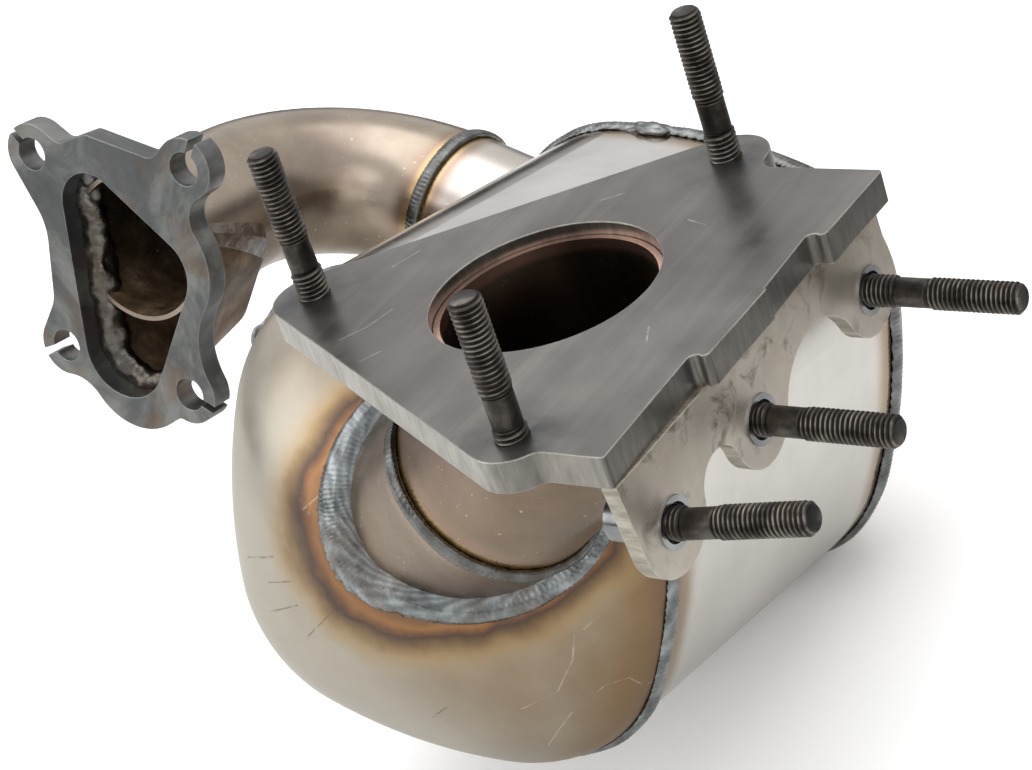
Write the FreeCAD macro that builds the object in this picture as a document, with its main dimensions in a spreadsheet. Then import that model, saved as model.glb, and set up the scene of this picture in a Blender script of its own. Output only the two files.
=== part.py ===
import FreeCAD, Part
import math
import os
from FreeCAD import Placement, Rotation, Vector

# Exhaust catalytic converter: a rounded-square canister, a turbocharger flange with its
# inlet pipe, an outlet elbow that ends in a flange plate, and a stud bracket on that plate.
# Millimetres.  The origin is the centre of the outlet bore on the plate's gasket face,
# +Z leaves that face and +X is the way the side studs point.

doc = FreeCAD.newDocument("catalytic_converter")
sheet = doc.addObject("Spreadsheet::Sheet", "sizes")

SIZES = [
    # outlet plate
    ("plateThick", 8.0), ("boreRadius", 28.6), ("lobeRadius", 11.0),
    ("leftStudX", -63.5), ("leftStudY", -9.9), ("farStudX", 15.9), ("farStudY", 60.2),
    ("nearStudX", 29.4), ("nearStudY", -58.1),
    ("plateNearY", -62.4), ("plateFarY", 55.9),
    ("edgeNearX", 55.8), ("edgeMidX", 58.9), ("edgeFarX", 61.6), ("edgeStep", 0.7),
    ("nearJogY", -23.5), ("farJogY", 26.8), ("stepY", 3.7), ("notchRadius", 2.0),
    # studs
    ("studRadius", 4.0), ("nutEndRadius", 3.9), ("neckRadius", 3.55), ("neckLength", 8.0),
    ("nutEndLength", 24.0), ("studChamfer", 1.0), ("threadFit", 0.03),
    ("nearStudLean", 7.9), ("nearStudLeanTurn", 66.0),
    ("tallTapShown", 8.0), ("shortTapShown", 3.4), ("plateTapDepth", 7.6), ("sideTapDepth", 11.0),
    # bracket and its sleeves
    ("bracketThick", 4.0), ("bracketFaceX", 56.25), ("lugRadius", 11.4), ("lugZ", -27.3),
    ("nearLugRadius", 12.5), ("farLugY", 46.1), ("midLugY", -8.2), ("nearLugY", -47.5),
    ("wideScallop", 18.0), ("smallScallop", 8.0),
    ("bracketNearY", -62.0), ("bracketFarY", 56.5), ("bracketWeldLeg", 4.0),
    ("sleeveRadius", 5.7), ("sleeveRimRadius", 6.1), ("sleeveRimThick", 0.5),
    ("sleeveBack", 11.0), ("sleeveFit", 0.03), ("sleeveBoreRadius", 4.7), ("sleeveBoreDepth", 3.2),
    # outlet elbow, 57 mm tube
    ("outletRadius", 28.4), ("outletWall", 1.6), ("rimRecess", 3.5), ("outletDrop", 4.6),
    ("outletBendRadius", 42.0), ("outletBendAngle", 50.0), ("outletRun", 26.0),
    ("plateWeldLeg", 4.0), ("stubPitch", 31.1), ("stubYaw", 30.1),
    ("stubFlare", 0.22), ("stubReach", 45.0),
    ("jointBeadRise", 2.1), ("jointBeadHalf", 2.4), ("beadRise", 1.8), ("beadWidth", 5.5),
    # canister
    ("canX", -79.5), ("canY", 25.0), ("canZ", -93.7),
    ("canYaw", 3.36), ("canPitch", 13.1), ("canRoll", 12.5),
    ("canHalf", 67.7), ("canCorner", 43.0), ("canSide", 159.0), ("canWall", 1.5),
    ("shellLength", 134.0), ("frontDepth", 47.0), ("rearDepth", 38.0),
    ("portFit", 0.05),
    ("matThick", 5.0), ("brickLength", 100.0), ("seamBeadHalf", 3.2),
    # turbocharger flange
    ("flangeX", -259.1), ("flangeY", 99.6), ("flangeZ", -65.6), ("flangeThick", 8.0),
    ("earRadius", 10.3), ("earHoleRadius", 5.6), ("earSlit", 2.6), ("flangeWeldLeg", 3.0),
    # inlet pipe, 50.8 mm tube
    ("inletRadius", 25.4), ("inletWall", 1.5), ("inletRun", 51.0), ("inletBendRadius", 53.0),
    ("inletBendAngle", 95.4), ("inletBendDrop", 19.1), ("neckRun", 45.0),
    ("neckBendRadius", 60.0), ("neckBendAngle", 58.0),
    # transition scoop under the inlet pipe
    ("scoopLength", 34.0), ("scoopEnd", 7.0), ("scoopWall", 1.8), ("scoopLap", 0.9),
]


def fillSheet():
    for row, (name, value) in enumerate(SIZES, start=1):
        sheet.set("A%d" % row, name)
        sheet.set("B%d" % row, str(value))
        sheet.setAlias("B%d" % row, name)
    doc.recompute()


def size(name):
    return float(sheet.get(name))


def bind(obj, prop, formula):
    """Tie a property to the sheet; words in the formula that are sizes get the sheet's name."""
    words = []
    for word in formula.replace("(", " ( ").replace(")", " ) ").split():
        words.append("sizes." + word if word in NAMES else word)
    obj.setExpression(prop, " ".join(words))


# ---------------------------------------------------------------- plane outlines

def belt(circles):
    """Edges of the belt that runs round the circles (x, y, radius) in turn, anticlockwise.

    A negative radius is a hollow that the belt passes on its outer side, and a zero
    radius is a sharp corner.
    """
    normals = []
    for (xa, ya, ra), (xb, yb, rb) in zip(circles, circles[1:] + circles[:1]):
        reach = math.hypot(xb - xa, yb - ya)
        lean = max(-1.0, min(1.0, (ra - rb) / reach))
        normals.append(math.atan2(yb - ya, xb - xa) - math.acos(lean))
    edges = []
    first = last = None
    for i, (x, y, r) in enumerate(circles):
        start, end = normals[i - 1], normals[i]
        if r > 0:
            sweep = (end - start) % (2 * math.pi)
        else:
            sweep = -((start - end) % (2 * math.pi))
        spots = [Vector(x + r * math.cos(start + sweep * k / 2.0),
                        y + r * math.sin(start + sweep * k / 2.0), 0) for k in range(3)]
        if first is None:
            first = spots[0]
        elif last.distanceToPoint(spots[0]) > 1e-4:
            edges.append(Part.LineSegment(last, spots[0]))
        else:
            spots[0] = last
        if i == len(circles) - 1 and spots[2].distanceToPoint(first) <= 1e-4:
            spots[2] = first
        if r != 0 and abs(sweep) * abs(r) > 1e-3:
            edges.append(Part.Arc(*spots))
            last = spots[2]
        else:
            last = spots[0]
    if last.distanceToPoint(first) > 1e-7:
        edges.append(Part.LineSegment(last, first))
    return edges


def hollowBetween(first, second, radius):
    """The hollow of a given radius that touches both circles, on the belt's outer side."""
    (xa, ya, ra), (xb, yb, rb) = first, second
    reach = math.hypot(xb - xa, yb - ya)
    ux, uy = (xb - xa) / reach, (yb - ya) / reach
    along = ((ra + radius) ** 2 - (rb + radius) ** 2 + reach ** 2) / (2.0 * reach)
    out = math.sqrt((ra + radius) ** 2 - along ** 2)
    return (xa + along * ux + out * uy, ya + along * uy - out * ux, -radius)


def wireOf(edges, z=0.0):
    wire = Part.Wire([e.toShape() for e in edges])
    wire.translate(Vector(0, 0, z))
    return wire


def prism(edges, bottom, height):
    return Part.Face(wireOf(edges, bottom)).extrude(Vector(0, 0, height))


def growBelt(circles, grow):
    return [(x, y, r + grow) for x, y, r in circles]


# ---------------------------------------------------------------- document helpers

def padBody(label, loops, placement, thickness, downward=True):
    """A body with one padded sketch; loops are lists of edges, the first one outside."""
    body = doc.addObject("PartDesign::Body", label)
    body.Label = label
    sketch = body.newObject("Sketcher::SketchObject", label + "_outline")
    plane = [f for f in body.Origin.OriginFeatures if f.Role == "XY_Plane"][0]
    sketch.AttachmentSupport = [(plane, "")]
    sketch.MapMode = "FlatFace"
    for edges in loops:
        sketch.addGeometry(edges, False)
    pad = body.newObject("PartDesign::Pad", label + "_pad")
    pad.Profile = sketch
    bind(pad, "Length", thickness)
    pad.Reversed = downward
    body.Placement = placement
    return body


def holeSketch(body, label, circles):
    """A sketch of full circles whose radii follow the sheet: (x, y, formula)."""
    sketch = body.newObject("Sketcher::SketchObject", label)
    plane = [f for f in body.Origin.OriginFeatures if f.Role == "XY_Plane"][0]
    sketch.AttachmentSupport = [(plane, "")]
    sketch.MapMode = "FlatFace"
    import Sketcher
    for i, (x, y, formula) in enumerate(circles):
        sketch.addGeometry(Part.Circle(Vector(x, y, 0), Vector(0, 0, 1), 5.0), False)
        sketch.addConstraint(Sketcher.Constraint("Radius", i, 5.0))
        sketch.renameConstraint(sketch.ConstraintCount - 1, "radius%d" % i)
        bind(sketch, "Constraints.radius%d" % i, formula)
    return sketch


def pocket(body, sketch, label, depth, reversed_=False):
    cut = body.newObject("PartDesign::Pocket", label)
    cut.Profile = sketch
    bind(cut, "Length", depth)
    cut.Reversed = reversed_
    return cut


def solidOf(shape):
    """The largest solid of a boolean's result, cleaned of split faces."""
    solids = sorted(shape.Solids, key=lambda s: s.Volume)
    best = solids[-1].removeSplitter()
    return best


def feature(label, shape, placement=None):
    piece = doc.addObject("Part::Feature", label)
    piece.Label = label
    piece.Shape = shape
    if placement is not None:
        piece.Placement = placement
    return piece


def frameAt(origin, x, y, z):
    return Placement(origin, Rotation(x, y, z, "ZXY"))


def tubeSolid(start, direction, steps, radius):
    """Solid bar along straight runs ('run', length) and bends ('bend', radius, degrees, side)."""
    place, along = Vector(start), Vector(direction).normalize()
    parts = []
    for step in steps:
        if step[0] == "run":
            parts.append(Part.makeCylinder(radius, step[1], place, along))
            place = place + along * step[1]
        else:
            bendRadius, degrees = step[1], step[2]
            side = step[3] - along * step[3].dot(along)
            side.normalize()
            disc = Part.Face(Part.Wire(Part.makeCircle(radius, place, along)))
            axis = along.cross(side)
            parts.append(disc.revolve(place + side * bendRadius, axis, degrees))
            turn = math.radians(degrees)
            place = (place + along * (bendRadius * math.sin(turn))
                     + side * (bendRadius * (1 - math.cos(turn))))
            along = along * math.cos(turn) + side * math.sin(turn)
    bar = parts[0]
    for part in parts[1:]:
        bar = bar.fuse(part)
    return bar, place, along


def halfSpace(point, direction, reach=400.0):
    """A block that holds everything beyond the plane through point, along direction."""
    along = Vector(direction).normalize()
    across = along.cross(Vector(0, 1, 0))
    if across.Length < 0.1:
        across = along.cross(Vector(1, 0, 0))
    across.normalize()
    up = along.cross(across)
    block = Part.makeBox(reach, reach, reach, Vector(-reach / 2, -reach / 2, 0))
    block.Placement = frameAt(point, across, up, along)
    return block


# ---------------------------------------------------------------- sizes and frames

NAMES = {name for name, _ in SIZES}
fillSheet()

yaw, pitch = math.radians(size("canYaw")), math.radians(size("canPitch"))
rearward = Vector(-math.sin(yaw) * math.cos(pitch), math.cos(yaw) * math.cos(pitch), -math.sin(pitch))
rightward = rearward.cross(Vector(0, 0, 1)).normalize()
upward = rightward.cross(rearward)
forward = rearward * -1

# canister frame: origin at the middle of the front seam, +Z out of the front cap
canFrame = frameAt(Vector(size("canX"), size("canY"), size("canZ")), rightward, upward, forward)
# flange frame: origin on the inlet pipe's axis in the flange face, +Z out of that face
flangeFrame = frameAt(Vector(size("flangeX"), size("flangeY"), size("flangeZ")),
                      rightward, upward, forward)
# bracket frame: local X, Y, Z are the model's Y, Z, X
bracketFrame = Placement(Vector(size("bracketFaceX"), 0, 0), Rotation(Vector(1, 1, 1), 120))


# ---------------------------------------------------------------- outlet plate

def plateOutline():
    lobe, thinLobe = size("lobeRadius"), size("lobeRadius") - 1.0
    notch, corner = size("notchRadius"), 1.0
    nearY, farY = size("plateNearY"), size("plateFarY")
    nearX, midX, farX = size("edgeNearX"), size("edgeMidX"), size("edgeFarX")
    nearJog, farJog, step = size("nearJogY"), size("farJogY"), size("stepY")
    nearHollow, farHollow = 4.0, 5.0      # blends between the lobes and the straight ends
    cx, cy = size("nearStudX"), size("nearStudY")
    bx, by = size("farStudX"), size("farStudY")
    nearRise, farRise = nearY - nearHollow - cy, farY + farHollow - by
    nearHollowX = cx + math.sqrt((thinLobe + nearHollow) ** 2 - nearRise ** 2)
    farHollowX = bx + math.sqrt((lobe + farHollow) ** 2 - farRise ** 2)
    stepX = midX - size("edgeStep")
    return belt([
        (size("leftStudX"), size("leftStudY"), lobe),
        (cx, cy, thinLobe),
        (nearHollowX, nearY - nearHollow, -nearHollow),
        (nearX - corner, nearY + corner, corner),
        (nearX + 0.4 * notch, nearJog - 0.8 * notch, -notch),
        (midX - 0.8 * notch, nearJog + 0.8 * notch, 0.8 * notch),
        (midX, step, 0.0),
        (stepX, step, 0.0),
        (stepX + 0.4 * notch, farJog - 0.8 * notch, -notch),
        (farX - 0.8 * notch, farJog + 0.8 * notch, 0.8 * notch),
        (farX - corner, farY - corner, corner),
        (farHollowX, farY + farHollow, -farHollow),
        (bx, by, lobe),
    ])


def outletPlate():
    body = padBody("outlet_plate", [plateOutline()], Placement(), "plateThick")
    bore = holeSketch(body, "bore_outline", [(0, 0, "boreRadius")])
    pocket(body, bore, "bore_cut", "2 * plateThick")
    spots = [(size(n + "StudX"), size(n + "StudY"), "studRadius + threadFit")
             for n in ("left", "far", "near")]
    holes = holeSketch(body, "stud_hole_outline", spots)
    pocket(body, holes, "stud_hole_cut", "2 * plateThick")
    doc.recompute()
    return body


# ---------------------------------------------------------------- studs

def cylinder(name, radius, height, base):
    piece = doc.addObject("Part::Cylinder", name)
    bind(piece, "Radius", radius)
    bind(piece, "Height", height)
    bind(piece, "Placement.Base.z", base)
    return piece


def stud(label, placement, tapDepth, tapShown, lean=0.0, turn=0.0):
    """Double-ended stud along +Z: tap end, plain neck and nut end; z = 0 is the face it leaves.

    lean tips everything past the tap end, towards the turn angle about Z, as on a bent stud.
    """
    tap = cylinder(label + "_tap_end", "studRadius", tapDepth + " + " + tapShown,
                   "0 - " + tapDepth)
    root = cylinder(label + "_neck", "neckRadius", "neckLength + 1", "0 - 1")
    nut = cylinder(label + "_nut_end", "nutEndRadius", "nutEndLength", "neckLength")
    outer = doc.addObject("Part::MultiFuse", label + "_outer_end")
    outer.Shapes = [root, nut]
    swing = math.radians(turn)
    axis = Vector(-math.sin(swing), math.cos(swing), 0)
    outer.Placement = Placement(Vector(), Rotation(axis, lean))
    bind(outer, "Placement.Base.z", tapShown)
    blank = doc.addObject("Part::MultiFuse", label + "_blank")
    blank.Shapes = [tap, outer]
    doc.recompute()
    tip = outer.Placement.multVec(Vector(0, 0, size("neckLength") + size("nutEndLength")))
    tail = Vector(0, 0, -size(tapDepth))
    ends = []
    for number, edge in enumerate(blank.Shape.Edges, start=1):
        curve = edge.Curve
        if isinstance(curve, Part.Circle):
            if min((curve.Center - tip).Length, (curve.Center - tail).Length) < 1e-4:
                ends.append((number, size("studChamfer"), size("studChamfer")))
    chamfer = doc.addObject("Part::Chamfer", label)
    chamfer.Label = label
    chamfer.Base = blank
    chamfer.Edges = ends
    chamfer.Placement = placement
    doc.recompute()
    return chamfer


# ---------------------------------------------------------------- bracket

def bracketOutline():
    z = size("lugZ")
    near = (size("nearLugY"), z, size("nearLugRadius"))
    mid = (size("midLugY"), z, size("lugRadius"))
    far = (size("farLugY"), z, size("lugRadius"))
    top = -size("plateThick")
    return belt([
        (size("bracketNearY"), top, 0.0),
        near, hollowBetween(near, mid, size("smallScallop")),
        mid, hollowBetween(mid, far, size("wideScallop")),
        far,
        (size("bracketFarY"), top, 0.0),
    ])


def sideBracket():
    body = padBody("side_bracket", [bracketOutline()], bracketFrame, "bracketThick")
    spots = [(size(n + "LugY"), size("lugZ"), "sleeveRadius + sleeveFit")
             for n in ("near", "mid", "far")]
    holes = holeSketch(body, "sleeve_hole_outline", spots)
    pocket(body, holes, "sleeve_hole_cut", "2 * bracketThick")
    doc.recompute()
    return body


def sleeve(label, y):
    """Threaded sleeve along local Z, pressed through the bracket with a rim on its face."""
    length = "bracketThick + sleeveBack"
    barrel = cylinder(label + "_barrel", "sleeveRadius", length, "0 - bracketThick - sleeveBack")
    rim = cylinder(label + "_rim", "sleeveRimRadius", "sleeveRimThick", "0")
    outside = doc.addObject("Part::MultiFuse", label + "_outside")
    outside.Shapes = [barrel, rim]
    thread = cylinder(label + "_thread", "studRadius + threadFit", "4 * sleeveBack",
                      "0 - 2 * sleeveBack")
    mouth = cylinder(label + "_mouth", "sleeveBoreRadius", "4 * sleeveBack", "0 - sleeveBoreDepth")
    inside = doc.addObject("Part::MultiFuse", label + "_inside")
    inside.Shapes = [thread, mouth]
    piece = doc.addObject("Part::Cut", label)
    piece.Label = label
    piece.Base, piece.Tool = outside, inside
    piece.Placement = bracketFrame.multiply(Placement(Vector(y, size("lugZ"), 0), Rotation()))
    return piece


def bracketWeld():
    """Fillet bead in the corner between the plate's underside and the bracket's inner face."""
    leg = size("bracketWeldLeg")
    x = size("bracketFaceX") - size("bracketThick")
    z = -size("plateThick")
    near, far = size("bracketNearY") + 2.0, size("bracketFarY") - 2.0
    corner = [Vector(x, near, z), Vector(x - leg, near, z), Vector(x, near, z - leg)]
    middle = Vector(x - 0.62 * leg, near, z - 0.62 * leg)
    edges = [Part.makeLine(corner[0], corner[1]), Part.Arc(corner[1], middle, corner[2]).toShape(),
             Part.makeLine(corner[2], corner[0])]
    return Part.Face(Part.Wire(edges)).extrude(Vector(0, far - near, 0))


# ---------------------------------------------------------------- canister

def cornerCentre():
    """Where the corner arcs of the section are centred, so that they run into the side arcs."""
    k = size("canSide") - size("canHalf")
    m = size("canSide") - size("canCorner")
    return (math.sqrt(2.0 * m * m - k * k) - k) / 2.0


def section(grow=0.0, scale=1.0):
    """Rounded-square section with bowed sides, rolled about the canister's axis."""
    k = size("canSide") - size("canHalf")
    c = cornerCentre()
    roll = -math.radians(size("canRoll"))
    circles = []
    for quarter in range(4):
        for x, y, r in ((-k, 0.0, size("canSide")), (c, c, size("canCorner"))):
            turn = roll + quarter * math.pi / 2.0
            circles.append((scale * (x * math.cos(turn) - y * math.sin(turn)),
                            scale * (x * math.sin(turn) + y * math.cos(turn)),
                            scale * (r + grow)))
    return belt(circles)


DOME_STEPS = (0.0, 0.25, 0.5, 0.7, 0.85, 0.94, 0.985)


def dome(grow, depth):
    """Closed dome over the section: elliptical in the side view, from z = 0 to nearly depth."""
    wires = [wireOf(section(grow, math.sqrt(1 - u * u)), depth * u) for u in DOME_STEPS]
    return Part.makeLoft(wires, True, False)


def shellPiece(label, outGrow, inGrow, length, start):
    """A tube of the canister's section from local z = start down by length."""
    loops = [section(outGrow)]
    if inGrow is not None:
        loops.append(section(inGrow))
    shifted = canFrame.multiply(Placement(Vector(0, 0, start), Rotation()))
    return padBody(label, loops, shifted, length)


def seamBead(z):
    """Weld bead round the canister at local height z, without what it lies on."""
    half, rise = size("seamBeadHalf"), size("beadRise")
    profile = ((-half, 0.2), (-0.55 * half, 0.8 * rise), (0.0, rise), (0.55 * half, 0.8 * rise),
               (half, 0.2))
    wires = [wireOf(section(grow), z + offset) for offset, grow in profile]
    return Part.makeLoft(wires, True, True)


turnBack = Placement(Vector(0, 0, -size("shellLength")), Rotation(Vector(1, 0, 0), 180))


def rearDome(grow, depth):
    """The same dome on the other end; it is mirrored, so that the section still lines up."""
    shape = dome(grow, depth).mirror(Vector(0, 0, 0), Vector(0, 0, 1))
    shape.translate(Vector(0, 0, -size("shellLength")))
    return shape


wall = size("canWall")
frontOuter = dome(0.0, size("frontDepth"))
frontInner = dome(-wall, size("frontDepth") - wall)
rearOuter = rearDome(0.0, size("rearDepth"))
rearInner = rearDome(-wall, size("rearDepth") - wall)
shellOuter = prism(section(), -size("shellLength"), size("shellLength"))
toCan = canFrame.inverse()


def moved(shape, placement):
    copy = shape.copy()
    copy.Placement = placement.multiply(copy.Placement)
    return copy


# ---------------------------------------------------------------- outlet side

down = Vector(0, 0, -1)
bendSide = Vector(-1, 0, 0)
rim = Vector(0, 0, -size("rimRecess"))
outletSteps = [("run", size("outletDrop")),
               ("bend", size("outletBendRadius"), size("outletBendAngle"), bendSide),
               ("run", size("outletRun"))]
outletR, outletBore = size("outletRadius"), size("outletRadius") - size("outletWall")
elbowOuter, jointAt, elbowEnd = tubeSolid(rim, down, outletSteps, outletR)
elbowInner = tubeSolid(rim, down, outletSteps, outletBore)[0]

stubTilt, stubTurn = math.radians(size("stubPitch")), math.radians(size("stubYaw"))
stubDir = Vector(-math.cos(stubTilt) * math.cos(stubTurn),
                 math.cos(stubTilt) * math.sin(stubTurn), -math.sin(stubTilt))


def stubBar(radius):
    """Bar that starts at the elbow's end and flares towards the cap."""
    reach = size("stubReach")
    rings = [Part.makeCircle(radius, jointAt, elbowEnd),
             Part.makeCircle(radius + size("stubFlare") * reach, jointAt + stubDir * reach, stubDir)]
    return Part.makeLoft([Part.Wire(ring) for ring in rings], True, True)


def outletStub():
    tube = stubBar(outletR).cut(stubBar(outletBore))
    return solidOf(tube.cut(moved(frontInner, canFrame)).cut(moved(shellOuter, canFrame)))


def jointWeld(at, along, radius, *pieces):
    """A bevelled bead about a joint between two tubes, less the tubes themselves."""
    rise, half = size("jointBeadRise"), size("jointBeadHalf")
    flank = 0.75 * rise
    rings = [Part.makeCone(radius + flank, radius + rise, half, at - along * half, along),
             Part.makeCone(radius + rise, radius + flank, half, at, along)]
    ring = rings[0].fuse(rings[1])
    for piece in pieces:
        ring = ring.cut(piece)
    return solidOf(ring)


def outletJointWeld():
    return jointWeld(jointAt, elbowEnd, outletR, elbowOuter, stubBar(outletR),
                     moved(frontOuter, canFrame))


def stubWeld():
    wide = outletR + size("beadWidth")
    around = stubBar(wide).fuse(tubeSolid(rim, down, outletSteps, wide)[0])
    ring = moved(around.cut(stubBar(outletR)).cut(elbowOuter), toCan)
    layer = dome(size("beadRise"), size("frontDepth") + size("beadRise"))
    ring = ring.common(layer).cut(frontOuter)
    return solidOf(ring.cut(moved(outletJointWeld(), toCan)))


def plateWeld():
    leg = size("plateWeldLeg")
    cone = Part.makeCone(size("boreRadius") + leg, outletR + 0.1 * leg, leg,
                         Vector(0, 0, -size("plateThick")), down)
    return solidOf(cone.cut(elbowOuter))


# ---------------------------------------------------------------- inlet side

# circles (x, y, radius) in the flange's own frame
opening = [(-8.4, 15.8, 12.0), (-8.4, -33.6, 16.2), (12.6, -6.3, 13.6)]
# bolt holes (x, y) and the way each one's slit points, in degrees
ears = [(-28.7, 34.5, 130.0), (34.7, 28.7, 58.0), (-33.4, -32.0, 194.0), (16.3, -47.6, -31.0)]


def flangeOutline():
    upLeft, upRight, lowLeft, lowRight = [(x, y, size("earRadius")) for x, y, _ in ears]
    bottom = (-4.5, -39.0, 21.8)
    bulge = (13.0, -4.0, 22.8)
    corner = (-4.0, 36.5, 4.0)
    return belt([
        upLeft,
        (-50.3, 8.0, -20.0),
        (-46.0, -11.0, -12.5),
        lowLeft,
        hollowBetween(lowLeft, bottom, 14.0),
        bottom,
        hollowBetween(bottom, lowRight, 4.0),
        lowRight,
        hollowBetween(lowRight, bulge, 25.0),
        bulge,
        hollowBetween(bulge, upRight, 9.0),
        upRight,
        (21.1, 37.6, -5.0),
        corner,
        (-15.2, 42.0, -4.0),
    ])


def turboFlange():
    thick = size("flangeThick")
    body = prism(flangeOutline(), -thick, thick)
    body = body.cut(prism(belt(opening), -2 * thick, 3 * thick))
    for x, y, angle in ears:
        body = body.cut(Part.makeCylinder(size("earHoleRadius"), 3 * thick,
                                          Vector(x, y, -2 * thick)))
        slot = Part.makeBox(2 * size("earRadius"), size("earSlit"), 3 * thick,
                            Vector(0, -size("earSlit") / 2, -2 * thick))
        slot.Placement = Placement(Vector(x, y, 0), Rotation(Vector(0, 0, 1), angle))
        body = body.cut(slot)
    return solidOf(body)


bendDrop = math.radians(size("inletBendDrop"))
inletStart = Vector(0, 0, -size("flangeThick"))
inletSide = Vector(math.cos(bendDrop), -math.sin(bendDrop), 0)
inletSteps = [("run", size("inletRun")),
              ("bend", size("inletBendRadius"), size("inletBendAngle"), inletSide)]
inletR, inletBore = size("inletRadius"), size("inletRadius") - size("inletWall")
inletOuter, inletJoint, inletEnd = tubeSolid(inletStart, down, inletSteps, inletR)
inletInner = tubeSolid(inletStart, down, inletSteps, inletBore)[0]

neckSteps = [("run", size("neckRun")),
             ("bend", size("neckBendRadius"), size("neckBendAngle"), Vector(0, 0, 1)),
             ("run", 30.0)]
neckOuter = tubeSolid(inletJoint, inletEnd, neckSteps, inletR)[0]
neckInner = tubeSolid(inletJoint, inletEnd, neckSteps, inletBore)[0]
flangeToCan = toCan.multiply(flangeFrame)
canToFlange = flangeToCan.inverse()


def inletNeck():
    tube = neckOuter.cut(neckInner)
    return solidOf(tube.cut(moved(rearInner, canToFlange)).cut(moved(shellOuter, canToFlange)))


def neckWeld():
    port = moved(neckOuter, flangeToCan)
    ring = moved(tubeSolid(inletJoint, inletEnd, neckSteps, inletR + size("beadWidth"))[0],
                 flangeToCan).cut(port)
    layer = rearDome(size("beadRise"), size("rearDepth") + size("beadRise"))
    return solidOf(ring.common(layer).cut(rearOuter))


def scoopLoft(grow):
    """From the flange's opening back as a gutter, then up to a ring inside the inlet pipe."""
    start = -size("flangeThick")
    gutter = [(-4.0, 4.0, 15.0), (-4.0, -23.0, 15.5), (7.5, -8.0, 14.0)]
    throat = [(-1.5, 1.5, 13.0), (-1.5, -6.0, 13.0), (3.0, -1.5, 13.0)]
    stops = [(opening, start), (gutter, start - size("scoopLength")),
             (throat, start - size("scoopLength") - size("scoopEnd"))]
    wires = [wireOf(belt(growBelt(circles, grow)), z) for circles, z in stops]
    return Part.makeLoft(wires, True, True)


def transitionScoop():
    lap = size("scoopLap")
    sheetMetal = scoopLoft(lap + size("scoopWall")).cut(scoopLoft(lap))
    return solidOf(sheetMetal.cut(inletOuter))


def scoopWeld():
    around = tubeSolid(inletStart, down, inletSteps, inletR + size("beadRise"))[0]
    rise = size("scoopLap") + size("scoopWall")
    bead = scoopLoft(rise + size("beadRise")).cut(scoopLoft(rise)).common(around)
    return solidOf(bead.cut(inletOuter))


def flangeWeld():
    leg = size("flangeWeldLeg")
    rise = size("scoopLap") + size("scoopWall")
    band = prism(belt(growBelt(opening, rise + leg)), -size("flangeThick") - leg, leg)
    bar = Part.makeCylinder(inletR + leg, leg, Vector(0, 0, -size("flangeThick") - leg))
    band = band.fuse(bar)
    return solidOf(band.cut(scoopLoft(rise)).cut(inletOuter).cut(scoopWeld()))


def innerWeld():
    leg = 0.6 * size("flangeWeldLeg")
    depth = 2.0 * leg
    ring = prism(belt(opening), -size("flangeThick"), depth)
    return solidOf(ring.cut(prism(belt(growBelt(opening, -leg)), -size("flangeThick"), depth)))


# ---------------------------------------------------------------- the pieces

pieces = [outletPlate(), sideBracket()]
for number, (name, shown) in enumerate((("left", "tallTapShown"), ("far", "tallTapShown"),
                                        ("near", "shortTapShown")), start=1):
    spot = Placement(Vector(size(name + "StudX"), size(name + "StudY"), 0), Rotation())
    pieces.append(stud("plate_stud_%d" % number, spot, "plateTapDepth", shown))
for number, (name, shown) in enumerate((("near", "shortTapShown"), ("mid", "shortTapShown"),
                                        ("far", "tallTapShown")), start=1):
    pieces.append(sleeve("bracket_sleeve_%d" % number, size(name + "LugY")))
    spot = bracketFrame.multiply(Placement(Vector(size(name + "LugY"), size("lugZ"), 0),
                                           Rotation()))
    lean = size("nearStudLean") if name == "near" else 0.0
    pieces.append(stud("side_stud_%d" % number, spot, "sideTapDepth", shown, lean,
                       size("nearStudLeanTurn")))
pieces.append(feature("bracket_weld", bracketWeld()))

pieces.append(shellPiece("canister_shell", 0.0, -wall, "shellLength", 0.0))
pieces.append(shellPiece("support_mat", -wall, -wall - size("matThick"), "brickLength",
                         (size("brickLength") - size("shellLength")) / 2.0))
pieces.append(shellPiece("catalyst_brick", -wall - size("matThick"), None, "brickLength",
                         (size("brickLength") - size("shellLength")) / 2.0))
outletPort = moved(stubBar(outletR + size("portFit")), toCan)
elbowPort = moved(tubeSolid(rim, down, outletSteps, outletR + size("portFit"))[0], toCan)
pieces.append(feature("front_end_cap",
                      solidOf(frontOuter.cut(frontInner).cut(outletPort).cut(elbowPort)),
                      canFrame))
inletPort = moved(tubeSolid(inletJoint, inletEnd, neckSteps, inletR + size("portFit"))[0],
                  flangeToCan)
pieces.append(feature("rear_end_cap", solidOf(rearOuter.cut(rearInner).cut(inletPort)), canFrame))
pieces.append(feature("front_seam_weld", solidOf(seamBead(0.0).cut(shellOuter).cut(frontOuter)),
                      canFrame))
pieces.append(feature("rear_seam_weld",
                      solidOf(seamBead(-size("shellLength")).cut(shellOuter).cut(rearOuter)),
                      canFrame))

pieces.append(feature("outlet_elbow", solidOf(elbowOuter.cut(elbowInner))))
pieces.append(feature("outlet_stub", outletStub()))
pieces.append(feature("outlet_joint_weld", outletJointWeld()))
pieces.append(feature("outlet_port_weld", stubWeld(), canFrame))
pieces.append(feature("plate_weld", plateWeld()))

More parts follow.
